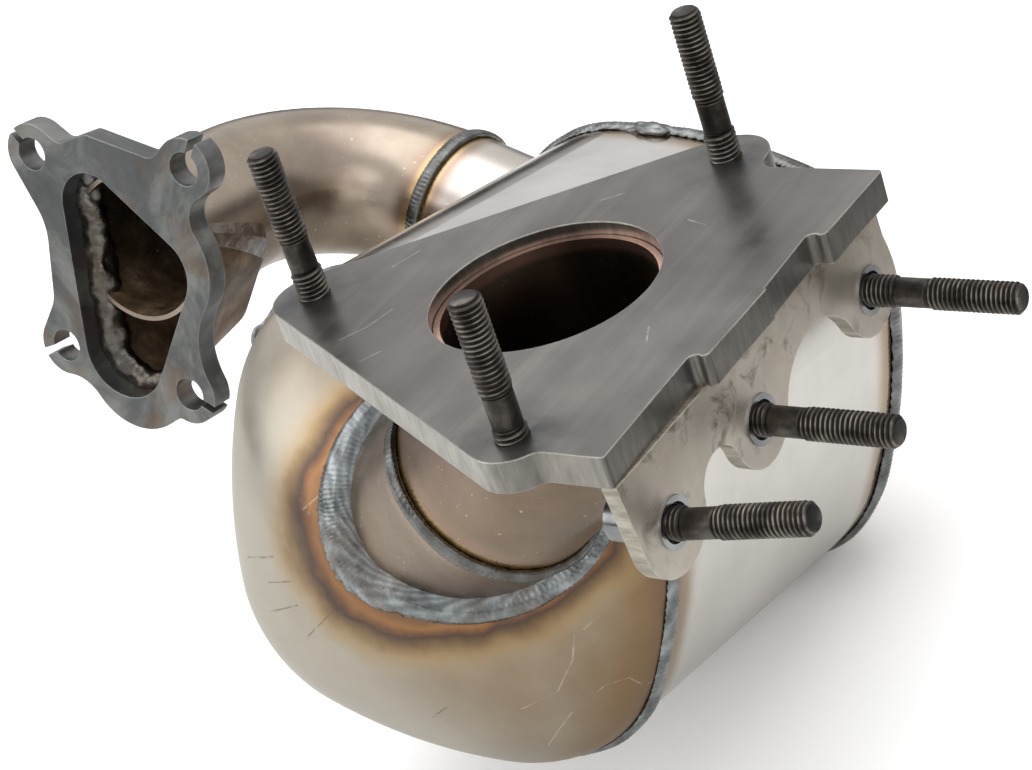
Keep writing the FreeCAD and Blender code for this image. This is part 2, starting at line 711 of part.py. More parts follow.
pieces.append(feature("turbo_flange", turboFlange(), flangeFrame))
pieces.append(feature("inlet_elbow", solidOf(inletOuter.cut(inletInner)), flangeFrame))
pieces.append(feature("inlet_neck", inletNeck(), flangeFrame))
pieces.append(feature("inlet_joint_weld",
                      jointWeld(inletJoint, inletEnd, inletR, inletOuter, neckOuter), flangeFrame))
pieces.append(feature("inlet_port_weld", neckWeld(), canFrame))
pieces.append(feature("transition_scoop", transitionScoop(), flangeFrame))
pieces.append(feature("scoop_weld", scoopWeld(), flangeFrame))
pieces.append(feature("flange_weld", flangeWeld(), flangeFrame))
pieces.append(feature("inner_weld", innerWeld(), flangeFrame))
doc.recompute()

# ---------------------------------------------------------------- checks and files

for obj in doc.Objects:
    if "Invalid" in obj.State or "Error" in obj.State:
        raise RuntimeError("%s failed: %s" % (obj.Name, obj.State))
os.makedirs("parts", exist_ok=True)
for piece in pieces:
    shape = piece.Shape
    if shape.isNull() or not shape.isValid() or not shape.Solids:
        raise RuntimeError(piece.Label + " has no valid solid")
    shape.exportStep("parts/%s.step" % piece.Label)
    box = shape.BoundBox
    print("%-20s %9.0f mm3  %d solid  faces %3d  x %.0f..%.0f y %.0f..%.0f z %.0f..%.0f" % (
        piece.Label, shape.Volume, len(shape.Solids), len(shape.Faces), box.XMin, box.XMax,
        box.YMin, box.YMax, box.ZMin, box.ZMax))
print(len(pieces), "pieces")
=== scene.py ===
# Catalytic converter: finishes, weld beads and lumps, threaded studs, studio light and camera (metres).

import math

import bmesh
import bpy
import numpy
from mathutils import Matrix, Vector, noise
from mathutils.bvhtree import BVHTree


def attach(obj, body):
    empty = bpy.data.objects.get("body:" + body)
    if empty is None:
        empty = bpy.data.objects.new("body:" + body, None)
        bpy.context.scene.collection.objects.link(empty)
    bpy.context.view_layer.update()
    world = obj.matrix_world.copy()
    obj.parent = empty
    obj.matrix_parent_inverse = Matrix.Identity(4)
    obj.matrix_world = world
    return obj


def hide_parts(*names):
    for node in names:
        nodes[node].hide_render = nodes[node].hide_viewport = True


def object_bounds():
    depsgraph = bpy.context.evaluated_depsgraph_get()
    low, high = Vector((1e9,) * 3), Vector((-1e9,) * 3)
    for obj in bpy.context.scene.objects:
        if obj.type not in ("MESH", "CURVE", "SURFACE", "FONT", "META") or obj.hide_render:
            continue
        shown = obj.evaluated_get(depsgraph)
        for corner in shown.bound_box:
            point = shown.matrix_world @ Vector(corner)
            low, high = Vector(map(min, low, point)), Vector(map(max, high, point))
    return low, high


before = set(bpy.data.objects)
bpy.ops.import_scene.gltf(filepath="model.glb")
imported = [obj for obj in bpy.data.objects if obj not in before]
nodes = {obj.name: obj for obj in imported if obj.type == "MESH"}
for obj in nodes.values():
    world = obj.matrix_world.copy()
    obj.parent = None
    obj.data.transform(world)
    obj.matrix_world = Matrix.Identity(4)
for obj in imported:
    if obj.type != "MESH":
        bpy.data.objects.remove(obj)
cadLow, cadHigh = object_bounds()
print("frame loaded:", len(nodes), "nodes")


def rgb(red, green, blue):
    linear = []
    for channel in (red, green, blue):
        value = channel / 255.0
        linear.append(value / 12.92 if value <= 0.04045 else ((value + 0.055) / 1.055) ** 2.4)
    return (linear[0], linear[1], linear[2], 1.0)


class Graph:
    def __init__(self, name, metallic=1.0, roughness=0.4):
        self.material = bpy.data.materials.new(name)
        self.material.use_nodes = True
        self.tree = self.material.node_tree
        self.tree.nodes.clear()
        output = self.add("ShaderNodeOutputMaterial")
        self.surface = self.add("ShaderNodeBsdfPrincipled")
        self.tree.links.new(self.surface.outputs["BSDF"], output.inputs["Surface"])
        self.place = self.add("ShaderNodeTexCoord").outputs["Object"]
        self.normal = self.add("ShaderNodeNewGeometry").outputs["Normal"]
        self.put("Metallic", metallic)
        self.put("Roughness", roughness)

    def add(self, kind, **settings):
        node = self.tree.nodes.new(kind)
        for key, value in settings.items():
            setattr(node, key, value)
        return node

    def feed(self, socket, value):
        if value is None:
            return
        if isinstance(value, bpy.types.NodeSocket):
            self.tree.links.new(value, socket)
        else:
            socket.default_value = value

    def put(self, name, value):
        self.feed(self.surface.inputs[name], value)

    def calc(self, operation, a, b=None, c=None, clamp=False):
        node = self.add("ShaderNodeMath", operation=operation, use_clamp=clamp)
        for socket, value in zip(node.inputs, (a, b, c)):
            self.feed(socket, value)
        return node.outputs[0]

    def vector(self, operation, a, b=None):
        node = self.add("ShaderNodeVectorMath", operation=operation)
        self.feed(node.inputs[0], a)
        self.feed(node.inputs[1], b)
        return node.outputs["Value" if operation in ("DOT_PRODUCT", "LENGTH") else "Vector"]

    def along(self, direction):
        return self.vector("DOT_PRODUCT", self.place, direction)

    def facing(self, direction):
        return self.vector("DOT_PRODUCT", self.normal, direction)

    def blend(self, factor, a, b):
        node = self.add("ShaderNodeMix", data_type="RGBA")
        self.feed(node.inputs[0], factor)
        self.feed(node.inputs[6], a)                    # 6 and 7 are the mix node's colour sockets
        self.feed(node.inputs[7], b)
        return node.outputs[2]

    def ramp(self, value, stops):
        node = self.add("ShaderNodeValToRGB")
        line = node.color_ramp
        while len(line.elements) < len(stops):
            line.elements.new(0.5)
        for element, (position, colour) in zip(line.elements, stops):
            element.position = position
            element.color = colour
        self.feed(node.inputs[0], value)
        return node.outputs["Color"]

    def spread(self, value, low, high, start=0.0, end=1.0):
        node = self.add("ShaderNodeMapRange", interpolation_type="SMOOTHSTEP")
        for socket, item in zip(node.inputs, (value, low, high, start, end)):
            self.feed(socket, item)
        return node.outputs[0]

    def noise(self, scale, detail=3.0, rough=0.55, stretch=(1.0, 1.0, 1.0), warp=0.0):
        spot = self.vector("MULTIPLY", self.place, stretch)
        node = self.add("ShaderNodeTexNoise")
        for key, item in (("Vector", spot), ("Scale", scale), ("Detail", detail),
                          ("Roughness", rough), ("Distortion", warp)):
            self.feed(node.inputs[key], item)
        return node.outputs["Fac"]

    def bump(self, height, depth, strength):
        # each further bump is laid over the ones before
        node = self.add("ShaderNodeBump")
        self.feed(node.inputs["Height"], height)
        self.feed(node.inputs["Distance"], depth)
        self.feed(node.inputs["Strength"], strength)
        if self.surface.inputs["Normal"].is_linked:
            self.feed(node.inputs["Normal"], self.surface.inputs["Normal"].links[0].from_socket)
        self.put("Normal", node.outputs["Normal"])

    def shine(self, scale, roughness):
        # roughness that wanders between a smooth and a rough value
        smooth, rough = roughness
        self.put("Roughness", self.spread(self.noise(scale, 4.0), 0.25, 0.75, smooth, rough))

    def give(self, *names):
        for name in names:
            mesh = nodes[name].data
            mesh.materials.clear()
            mesh.materials.append(self.material)


eastward = (1.0, 0.0, 0.0)                              # towards the bracket
upward = (0.0, 0.0, 1.0)
beadHalf = 0.003                                        # half the width of a bead


def ringOf(name):
    # a bead's centre, its axis w, its long and short directions u and v, and its half widths a and b
    mesh = nodes[name].data
    points = numpy.empty(len(mesh.vertices) * 3)
    mesh.vertices.foreach_get("co", points)
    points = points.reshape(-1, 3)
    _, axes = numpy.linalg.eigh(numpy.cov((points - points.mean(0)).T))
    local = points @ axes
    middle = (local.max(0) + local.min(0)) / 2.0
    half = (local.max(0) - local.min(0)) / 2.0
    return {"centre": tuple(axes @ middle), "w": tuple(axes[:, 0]), "u": tuple(axes[:, 2]),
            "v": tuple(axes[:, 1]), "a": float(half[2]), "b": float(half[1])}


def fromRing(graph, ring):
    # millimetres outward from the bead's middle, the angle around it and the height off its plane
    offset = graph.vector("SUBTRACT", graph.place, ring["centre"])
    u = graph.calc("DIVIDE", graph.vector("DOT_PRODUCT", offset, ring["u"]), ring["a"] - beadHalf)
    v = graph.calc("DIVIDE", graph.vector("DOT_PRODUCT", offset, ring["v"]), ring["b"] - beadHalf)
    w = graph.calc("MULTIPLY", graph.vector("DOT_PRODUCT", offset, ring["w"]), 1000.0)
    radial = graph.calc("SQRT", graph.calc("ADD", graph.calc("MULTIPLY", u, u),
                                           graph.calc("MULTIPLY", v, v)))
    outward = graph.calc("MULTIPLY", graph.calc("SUBTRACT", radial, 1.0),
                         500.0 * (ring["a"] + ring["b"]))
    return outward, graph.calc("ARCTAN2", v, u), w


rings = {name: ringOf(name) for name in (
    "front_seam_weld", "rear_seam_weld", "outlet_joint_weld", "outlet_port_weld",
    "inlet_joint_weld", "inlet_port_weld", "scoop_weld", "flange_weld", "inner_weld", "plate_weld")}

# heat tints outward from a bead, placed by their share of the tint's width
heat = {
    "port": [(0.0, rgb(124, 90, 62)), (0.12, rgb(148, 106, 68)), (0.21, rgb(118, 82, 58)),
             (0.29, rgb(76, 61, 56)), (0.40, rgb(112, 90, 66)), (0.62, rgb(158, 134, 98)),
             (1.0, rgb(176, 160, 132))],
    "seam": [(0.0, rgb(142, 92, 56)), (0.16, rgb(112, 82, 60)), (0.42, rgb(140, 114, 82)),
             (1.0, rgb(168, 150, 122))],
    "pipe": [(0.0, rgb(122, 96, 74)), (0.25, rgb(198, 168, 112)), (0.5, rgb(150, 126, 112)),
             (1.0, rgb(150, 132, 112))],
}


def tinted(graph, base, distance, width, stops, strength, uneven):
    wander = graph.calc("MULTIPLY", graph.calc("SUBTRACT", graph.noise(28.0, 3.0), 0.5), uneven)
    reach = graph.calc("ADD", graph.calc("DIVIDE", graph.calc("ABSOLUTE", distance), width), wander)
    reach = graph.calc("MAXIMUM", reach, 0.0)
    fade = graph.calc("MULTIPLY", graph.spread(reach, 0.45, 1.0, 1.0, 0.0), strength)
    return graph.blend(fade, base, graph.ramp(reach, stops))


def scratched(graph, base, lines, away, colour, width=0.00035, strength=0.6):
    # lines are in millimetres, and widths are measured square to the away direction
    drawn = None
    for line in lines:
        for start, end in zip(line, line[1:]):
            first = Vector(start) / 1000.0
            span = Vector(end) / 1000.0 - first
            offset = graph.vector("SUBTRACT", graph.place, tuple(first))
            along = graph.calc("MULTIPLY", graph.vector("DOT_PRODUCT", offset, tuple(span)),
                               1.0 / span.length_squared, clamp=True)
            gap = graph.vector("SUBTRACT", offset, graph.vector("MULTIPLY", along, tuple(span)))
            gap = graph.vector("LENGTH", graph.vector("CROSS_PRODUCT", gap, away))
            mark = graph.spread(gap, 0.4 * width, width, strength, 0.0)
            drawn = mark if drawn is None else graph.calc("MAXIMUM", drawn, mark)
    drawn = graph.calc("MULTIPLY", drawn, graph.spread(graph.noise(420.0, 2.0), 0.35, 0.6, 0.25, 1.0))
    return graph.blend(drawn, base, colour)


edgeWear = {"radius": 0.0006, "strength": 0.7}


def softEdges(graph, base, worn):
    # rounds the cut edges in the light and wears them pale
    bevel = graph.add("ShaderNodeBevel", samples=4)
    bevel.inputs["Radius"].default_value = edgeWear["radius"]
    likeness = graph.facing(bevel.outputs["Normal"])
    graph.put("Normal", bevel.outputs["Normal"])
    wear = graph.calc("MULTIPLY", graph.spread(likeness, 0.86, 0.995, edgeWear["strength"], 0.0),
                      graph.spread(graph.noise(150.0, 4.0), 0.3, 0.6, 0.4, 1.0))
    return graph.blend(wear, base, worn)


def cloudy(graph, dark, pale, scale):
    return graph.ramp(graph.noise(scale, 5.0, 0.6), [(0.3, dark), (0.7, pale)])


# where each stud stands, whether it points sideways out of the bracket, how deep it is screwed in
# and how much of its tap end shows; lean and turn are in degrees
studs = {
    "plate_stud_1": {"foot": (-0.0635, -0.0099, 0.0), "side": False, "tap": 0.0076, "shown": 0.008},
    "plate_stud_2": {"foot": (0.0159, 0.0602, 0.0), "side": False, "tap": 0.0076, "shown": 0.008},
    "plate_stud_3": {"foot": (0.0294, -0.0581, 0.0), "side": False, "tap": 0.0076, "shown": 0.0034},
    "side_stud_1": {"foot": (0.05625, -0.0475, -0.0273), "side": True, "tap": 0.011,
                    "shown": 0.0034, "lean": 7.9, "turn": 66.0},
    "side_stud_2": {"foot": (0.05625, -0.0082, -0.0273), "side": True, "tap": 0.011, "shown": 0.0034},
    "side_stud_3": {"foot": (0.05625, 0.0461, -0.0273), "side": True, "tap": 0.011, "shown": 0.008},
}

plateLook = {
    "dark": rgb(90, 87, 85), "pale": rgb(118, 115, 112), "edge": rgb(164, 160, 152),
    "edgeDark": rgb(126, 123, 118), "edgeShade": rgb(86, 84, 82), "worn": rgb(196, 192, 184),
    "scratch": rgb(196, 190, 182), "studShade": rgb(58, 59, 62), "studShadeReach": (0.004, 0.019),
    "roughness": (0.26, 0.4),
}
plateScratches = [                                      # millimetres
    [(-42, -28, 0), (-38, -22, 0), (-36, -14, 0)], [(-30, -36, 0), (-27, -31, 0)],
    [(22, 31, 0), (28, 29, 0)], [(38, -14, 0), (41, -20, 0)], [(-8, 38, 0), (-3, 42, 0)],
    [(-49, 4, 0), (-46, 12, 0)],
]


def plateSteel():
    graph = Graph("plateSteel", 0.9)
    face = cloudy(graph, plateLook["dark"], plateLook["pale"], 16.0)
    streaks = graph.noise(90.0, 4.0, 0.7, (1.0, 0.06, 1.0), 0.4)
    face = graph.blend(graph.spread(streaks, 0.45, 0.8, 0.0, 0.28), face, plateLook["edge"])
    near, far = plateLook["studShadeReach"]
    shadeRound = None
    for values in studs.values():                       # painted shade round the foot of each of the plate's studs
        if values["side"]:
            continue
        gap = graph.vector("MULTIPLY", graph.vector("SUBTRACT", graph.place, values["foot"]),
                           (1.0, 1.0, 0.0))
        spot = graph.spread(graph.vector("LENGTH", gap), near, far, 1.0, 0.0)
        shadeRound = spot if shadeRound is None else graph.calc("MAXIMUM", shadeRound, spot)
    patchy = graph.calc("MULTIPLY", shadeRound, graph.spread(graph.noise(70.0), 0.35, 0.7, 0.1, 0.9))
    face = graph.blend(patchy, face, plateLook["studShade"])
    face = scratched(graph, face, plateScratches, upward, plateLook["scratch"], 0.0003, 0.45)
    flat = graph.calc("ABSOLUTE", graph.facing(upward))
    cut = graph.noise(620.0, 4.0, 0.6, (1.0, 1.0, 0.2))
    rim = graph.ramp(cut, [(0.3, plateLook["edgeDark"]), (0.7, plateLook["edge"])])
    # cut edges that face the bracket's side and the front are darkened: painted shade
    shadedSide = graph.spread(graph.facing((0.95, -0.3, 0.0)), -0.1, 0.9)
    rim = graph.blend(graph.calc("MULTIPLY", shadedSide, 0.55), rim, plateLook["edgeShade"])
    base = graph.blend(graph.spread(flat, 0.35, 0.7), rim, face)
    graph.put("Base Color", softEdges(graph, base, plateLook["worn"]))
    graph.shine(60.0, plateLook["roughness"])
    graph.bump(graph.noise(420.0, 3.0, 0.6, (1.0, 0.15, 1.0)), 0.00004, 0.6)
    graph.bump(graph.noise(24.0, 2.0), 0.0012, 0.25)
    graph.give("outlet_plate")


bracketLook = {
    "dark": rgb(174, 167, 157), "pale": rgb(218, 209, 198), "oil": rgb(84, 75, 60),
    "darkNearPlate": rgb(140, 129, 113), "darkNearPlateHeight": (-0.03, -0.008), "edge": rgb(184, 178, 166),
    "edgeDark": rgb(128, 122, 112), "worn": rgb(206, 198, 184), "roughness": (0.4, 0.56),
}


def bracketSteel():
    graph = Graph("bracketSteel", 0.85)
    face = cloudy(graph, bracketLook["dark"], bracketLook["pale"], 26.0)
    low, high = bracketLook["darkNearPlateHeight"]              # darker and patchy towards the plate
    darkNearPlate = graph.calc("MULTIPLY", graph.spread(graph.along(upward), low, high, 0.0, 0.5),
                       graph.spread(graph.noise(60.0, 4.0), 0.3, 0.65))
    face = graph.blend(darkNearPlate, face, bracketLook["darkNearPlate"])
    oil = graph.spread(graph.noise(95.0, 6.0, 0.7, warp=0.8), 0.48, 0.66)
    oil = graph.calc("MULTIPLY", oil, graph.spread(graph.noise(24.0, 2.0), 0.3, 0.55))
    face = graph.blend(graph.calc("MULTIPLY", oil, 0.75), face, bracketLook["oil"])
    flat = graph.calc("ABSOLUTE", graph.facing(eastward))
    rim = graph.ramp(graph.noise(500.0, 3.0, 0.6, (0.2, 1.0, 1.0)),
                     [(0.3, bracketLook["edgeDark"]), (0.72, bracketLook["edge"])])
    base = graph.blend(graph.spread(flat, 0.35, 0.7), rim, face)
    graph.put("Base Color", softEdges(graph, base, bracketLook["worn"]))
    graph.shine(50.0, bracketLook["roughness"])
    graph.bump(graph.noise(360.0, 4.0, 0.65), 0.00005, 0.7)
    graph.give("side_bracket")


plateSteel()
bracketSteel()
print("plate and bracket finished")

capLook = {
    "dark": rgb(152, 144, 132), "pale": rgb(182, 176, 165), "roughness": (0.32, 0.46),
    "portWidth": 18.0, "portUpper": 1.25, "portLower": 0.8, "seamWidth": 17.0, "seamStretch": 0.62,
    "haze": rgb(128, 104, 74), "hazeShare": 0.85, "hazeReach": (-0.13, -0.06),
    "darkScratch": rgb(84, 76, 66), "paleScratch": rgb(206, 196, 180),
}
capScratches = {                                        # millimetres
    "dark": [[(-124, -12, -87), (-108, -17, -81)], [(-113, -17, -90), (-101, -20, -86)],
             [(-115, -19, -99), (-101, -21, -93)], [(-101, -22, -103), (-87, -22, -92)],
             [(-69, -20, -127), (-61, -21, -121)]],
    "pale": [[(-24, -1, -105), (-21, 2, -103)],
             [(-42, -14, -124), (-33, -8, -121), (-28, -4, -113), (-26, -3, -106)],
             [(-43, -9, -141), (-33, -6, -130), (-25, 1, -125), (-22, 7, -127), (-22, 12, -134)],
             [(-92, -15, -65), (-86, -14, -61)], [(-90, -15, -66), (-88, -15, -61)]],
}


def brushed(graph, roughness, stretch, depth=0.00003):
    graph.shine(40.0, roughness)
    graph.bump(graph.noise(520.0, 3.0, 0.6, stretch), depth, 0.6)
    graph.bump(graph.noise(18.0, 2.0), 0.0016, 0.3)


def capSteel(name, part, seam, port):
    graph = Graph(name)
    front = part == "front_end_cap"
    base = cloudy(graph, capLook["dark"], capLook["pale"], 20.0)
    _, _, height = fromRing(graph, rings[seam])
    east = graph.along(eastward)                        # the seam's tint is wider on the bracket's side
    height = graph.calc("MULTIPLY", height,
                        graph.spread(east, -0.09, -0.03, 1.0, capLook["seamStretch"]))
    base = tinted(graph, base, height, capLook["seamWidth"], heat["seam"], 0.9, 0.5)
    if front:                                           # the heat ran on towards the bracket's side
        clear, full = capLook["hazeReach"]
        haze = graph.spread(graph.along((1.0, 0.0, 0.35)), clear, full, 0.0, capLook["hazeShare"])
        haze = graph.calc("MULTIPLY", haze, graph.spread(graph.noise(26.0, 4.0), 0.25, 0.7, 0.4, 1.0))
        base = graph.blend(haze, base, capLook["haze"])
    outward, _, _ = fromRing(graph, rings[port])
    offset = graph.vector("SUBTRACT", graph.place, rings[port]["centre"])
    low = graph.vector("DOT_PRODUCT", offset, (-0.7, 0.0, -0.7))  # the port's tint is wider below it
    outward = graph.calc("MULTIPLY", graph.calc("MAXIMUM", outward, 0.0),
                         graph.spread(low, -0.04, 0.04, capLook["portUpper"], capLook["portLower"]))
    ragged = graph.calc("MULTIPLY", graph.calc("SUBTRACT", graph.noise(120.0, 4.0), 0.5), 5.0)
    outward = graph.calc("ADD", outward, ragged)
    base = tinted(graph, base, outward, capLook["portWidth"], heat["port"], 0.9, 0.55)
    if front:
        away = rings[seam]["w"]
        base = scratched(graph, base, capScratches["dark"], away, capLook["darkScratch"])
        base = scratched(graph, base, capScratches["pale"], away, capLook["paleScratch"], 0.00028, 0.38)
    graph.put("Base Color", base)
    brushed(graph, capLook["roughness"], (1.0, 0.3, 1.0))
    graph.give(part)


shellLook = {
    "dark": rgb(190, 186, 181), "pale": rgb(214, 211, 207), "tintWidth": 15.0,
    "roughness": (0.1, 0.18),
}


def shellSteel():
    graph = Graph("shellSteel")
    base = cloudy(graph, shellLook["dark"], shellLook["pale"], 18.0)
    for seam in ("front_seam_weld", "rear_seam_weld"):
        _, _, height = fromRing(graph, rings[seam])
        base = tinted(graph, base, height, shellLook["tintWidth"], heat["seam"], 0.85, 0.4)
    graph.put("Base Color", base)
    brushed(graph, shellLook["roughness"], (0.25, 1.0, 0.25), 0.00002)
    graph.give("canister_shell")


# the flange's middle, and which way it faces, in degrees
flangePlace = {"origin": (-0.2591, 0.0996, -0.0656), "yaw": 3.36, "pitch": 13.1}


def flangeAxes():
    # its right, its up and the way out of its opening
    yaw, pitch = math.radians(flangePlace["yaw"]), math.radians(flangePlace["pitch"])
    back = Vector((-math.sin(yaw) * math.cos(pitch), math.cos(yaw) * math.cos(pitch),
                   -math.sin(pitch)))
    right = back.cross(Vector(upward)).normalized()
    return right, right.cross(back), -back


insideLook = {
    "dark": rgb(62, 50, 38), "brown": rgb(112, 92, 70), "pale": rgb(166, 146, 120),
    "sootAndShade": rgb(30, 27, 22), "topShadeHeight": (-0.03, 0.012), "topShadeShare": 0.8,
    "depth": (-0.075, -0.06), "metal": 0.25,
}


def insideBrown(graph, base):
    # walls that face the flange's axis are dull brown, darker towards the top: painted shade
    _, up, out = flangeAxes()
    offset = graph.vector("SUBTRACT", graph.place, flangePlace["origin"])
    depth = graph.vector("DOT_PRODUCT", offset, tuple(out))
    spoke = graph.vector("SUBTRACT", offset, graph.vector("MULTIPLY", depth, tuple(out)))
    facing = graph.facing(graph.vector("NORMALIZE", spoke))
    deep, shallow = insideLook["depth"]
    inner = graph.calc("MULTIPLY", graph.spread(facing, -0.3, -0.05, 1.0, 0.0),
                       graph.spread(depth, deep, shallow))
    graph.put("Metallic", graph.spread(inner, 0.0, 1.0, 1.0, insideLook["metal"]))
    brown = graph.ramp(graph.noise(150.0, 5.0, 0.65),
                       [(0.3, insideLook["dark"]), (0.55, insideLook["brown"]),
                        (0.75, insideLook["pale"])])
    low, high = insideLook["topShadeHeight"]
    height = graph.vector("DOT_PRODUCT", offset, tuple(up))
    sootyAndShaded = graph.spread(height, low, high, 0.0, insideLook["topShadeShare"])
    return graph.blend(inner, base, graph.blend(sootyAndShaded, brown, insideLook["sootAndShade"]))


pipes = {
    # the outlet pipes are darker partly in their own brown and partly as painted shade under the plate
    "outletPipeShadedSteel": {"dark": rgb(112, 97, 82), "pale": rgb(146, 130, 114),
                        "welds": ["outlet_joint_weld"], "parts": ["outlet_elbow", "outlet_stub"]},
    "inletPipeSteel": {"dark": rgb(144, 132, 116), "pale": rgb(188, 177, 160),
                       "welds": ["inlet_joint_weld"], "parts": ["inlet_elbow"]},
    "neckSteel": {"dark": rgb(172, 164, 156), "pale": rgb(208, 201, 193),
                  "welds": ["inlet_joint_weld", "inlet_port_weld"], "parts": ["inlet_neck"]},
}
pipeLook = {
    "tintWidth": 11.0, "tintStrength": 0.85, "mauve": rgb(132, 112, 112), "undersideShade": rgb(84, 70, 54),
    "speck": rgb(204, 198, 188), "rim": rgb(206, 168, 152), "roughness": (0.24, 0.36),
}


def pipeSteel(name, values):
    graph = Graph(name)
    base = cloudy(graph, values["dark"], values["pale"], 24.0)
    mauve = graph.spread(graph.noise(17.0, 3.0), 0.4, 0.7, 0.0, 0.35)
    base = graph.blend(mauve, base, pipeLook["mauve"])
    for weld in values["welds"]:
        _, _, height = fromRing(graph, rings[weld])
        base = tinted(graph, base, height, pipeLook["tintWidth"], heat["pipe"],
                      pipeLook["tintStrength"], 0.3)
    if "outlet_elbow" in values["parts"]:               # the pipe's end shows copper brown in the bore
        base = graph.blend(graph.spread(graph.along(upward), -0.0075, -0.0055), base, pipeLook["rim"])
    if "inlet_elbow" in values["parts"]:                # darker where it faces down: painted shade
        undersideShade = graph.calc("MULTIPLY", graph.spread(graph.facing(upward), -0.55, 0.25, 0.75, 0.0),
                           graph.spread(graph.noise(32.0, 4.0), 0.3, 0.7, 0.6, 1.0))
        base = graph.blend(undersideShade, base, pipeLook["undersideShade"])
        base = insideBrown(graph, base)
    specks = graph.spread(graph.noise(700.0, 1.0), 0.73, 0.77, 0.0, 0.5)
    graph.put("Base Color", graph.blend(specks, base, pipeLook["speck"]))
    brushed(graph, pipeLook["roughness"], (1.0, 1.0, 0.25))
    graph.give(*values["parts"])


capSteel("frontCapSteel", "front_end_cap", "front_seam_weld", "outlet_port_weld")
capSteel("rearCapSteel", "rear_end_cap", "rear_seam_weld", "inlet_port_weld")
shellSteel()
for pipeName, pipeValues in pipes.items():
    pipeSteel(pipeName, pipeValues)
print("canister and pipes finished")

flangeLook = {
    "darkest": rgb(72, 74, 75), "dark": rgb(90, 92, 92), "pale": rgb(124, 125, 122),
    "blue": rgb(112, 120, 128), "rust": rgb(112, 84, 62), "worn": rgb(168, 172, 174),
    "roughness": (0.32, 0.52),
}


def flangeSteel():
    graph = Graph("flangeSteel", 0.85)
    base = graph.ramp(graph.noise(34.0, 7.0, 0.65, warp=0.7),
                      [(0.25, flangeLook["darkest"]), (0.45, flangeLook["dark"]),
                       (0.6, flangeLook["pale"]), (0.8, flangeLook["blue"])])
    rust = graph.spread(graph.noise(46.0, 5.0), 0.52, 0.7, 0.0, 0.5)
    base = graph.blend(rust, base, flangeLook["rust"])
    graph.put("Base Color", softEdges(graph, base, flangeLook["worn"]))
    graph.shine(80.0, flangeLook["roughness"])
    graph.bump(graph.noise(300.0, 4.0, 0.65), 0.00012, 0.7)
    graph.give("turbo_flange")


scoopLook = {
    "dark": rgb(58, 52, 46), "brown": rgb(88, 74, 60), "pale": rgb(132, 110, 88),
    "roughness": (0.38, 0.6),
}


def scoopSteel():
    graph = Graph("scoopSteel", 0.75)
    base = graph.ramp(graph.noise(52.0, 6.0, 0.65, warp=0.5),
                      [(0.28, scoopLook["dark"]), (0.5, scoopLook["brown"]), (0.74, scoopLook["pale"])])
    graph.put("Base Color", insideBrown(graph, base))
    graph.shine(90.0, scoopLook["roughness"])
    graph.bump(graph.noise(150.0, 5.0, 0.6), 0.0004, 0.7)
    graph.give("transition_scoop")


flangeSteel()
scoopSteel()
print("flange and scoop finished")


def skin(shape, rows):
    # quads between rings of points, and a cap over each end
    for lower, upper in zip(rows, rows[1:]):
        for index in range(len(lower)):
            after = (index + 1) % len(lower)
            shape.faces.new((lower[index], lower[after], upper[after], upper[index]))
    shape.faces.new(list(reversed(rows[0])))
    shape.faces.new(rows[-1])


def meshOf(name, shape):
    mesh = bpy.data.meshes.new(name)
    shape.to_mesh(mesh)
    shape.free()
    return mesh


def addPiece(name, mesh, material, standsFor=None, flatEnds=False):
    # each new piece rides on the one body, and may stand for a part of the frame
    for face in mesh.polygons:
        face.use_smooth = not flatEnds or len(face.vertices) == 4
    mesh.materials.clear()
    mesh.materials.append(material)
    piece = bpy.data.objects.new(name, mesh)
    bpy.context.scene.collection.objects.link(piece)
    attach(piece, "root")
    if standsFor:
        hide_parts(standsFor)


beadLook = {
    "dark": rgb(84, 87, 88), "pale": rgb(124, 129, 130), "gleam": rgb(164, 170, 172),
    "brown": rgb(108, 84, 62), "sootAndShade": rgb(74, 66, 58), "roughness": (0.24, 0.4),
    "ripplePitch": 0.0015, "rippleHeight": 0.0001, "rippleBow": 2.2, "rippleWobble": 3.0,
    "swellDepth": 0.0001, "sway": 0.0005, "feather": 0.0006, "voxel": 0.00055, "relaxTimes": 2,
    # how far each bead is darkened: partly soot, partly painted shade for beads that lie in shade
    "sootyAndShaded": {"outlet_joint_weld": 0.62, "inlet_joint_weld": 0.5, "rear_seam_weld": 0.35},
}
# each rippled bead and the two parts that it lies between
rippled = {
    "front_seam_weld": ("front_end_cap", "canister_shell"),
    "rear_seam_weld": ("rear_end_cap", "canister_shell"),
    "outlet_joint_weld": ("outlet_stub", "outlet_elbow"),
    "outlet_port_weld": ("front_end_cap", "outlet_stub"),
    "inlet_joint_weld": ("inlet_neck", "inlet_elbow"),
}
# how far across it the port bead starts to sink, over how much, and how deep under the stub's skin
portLip = {"start": 0.64, "over": 0.14, "below": 0.0004}


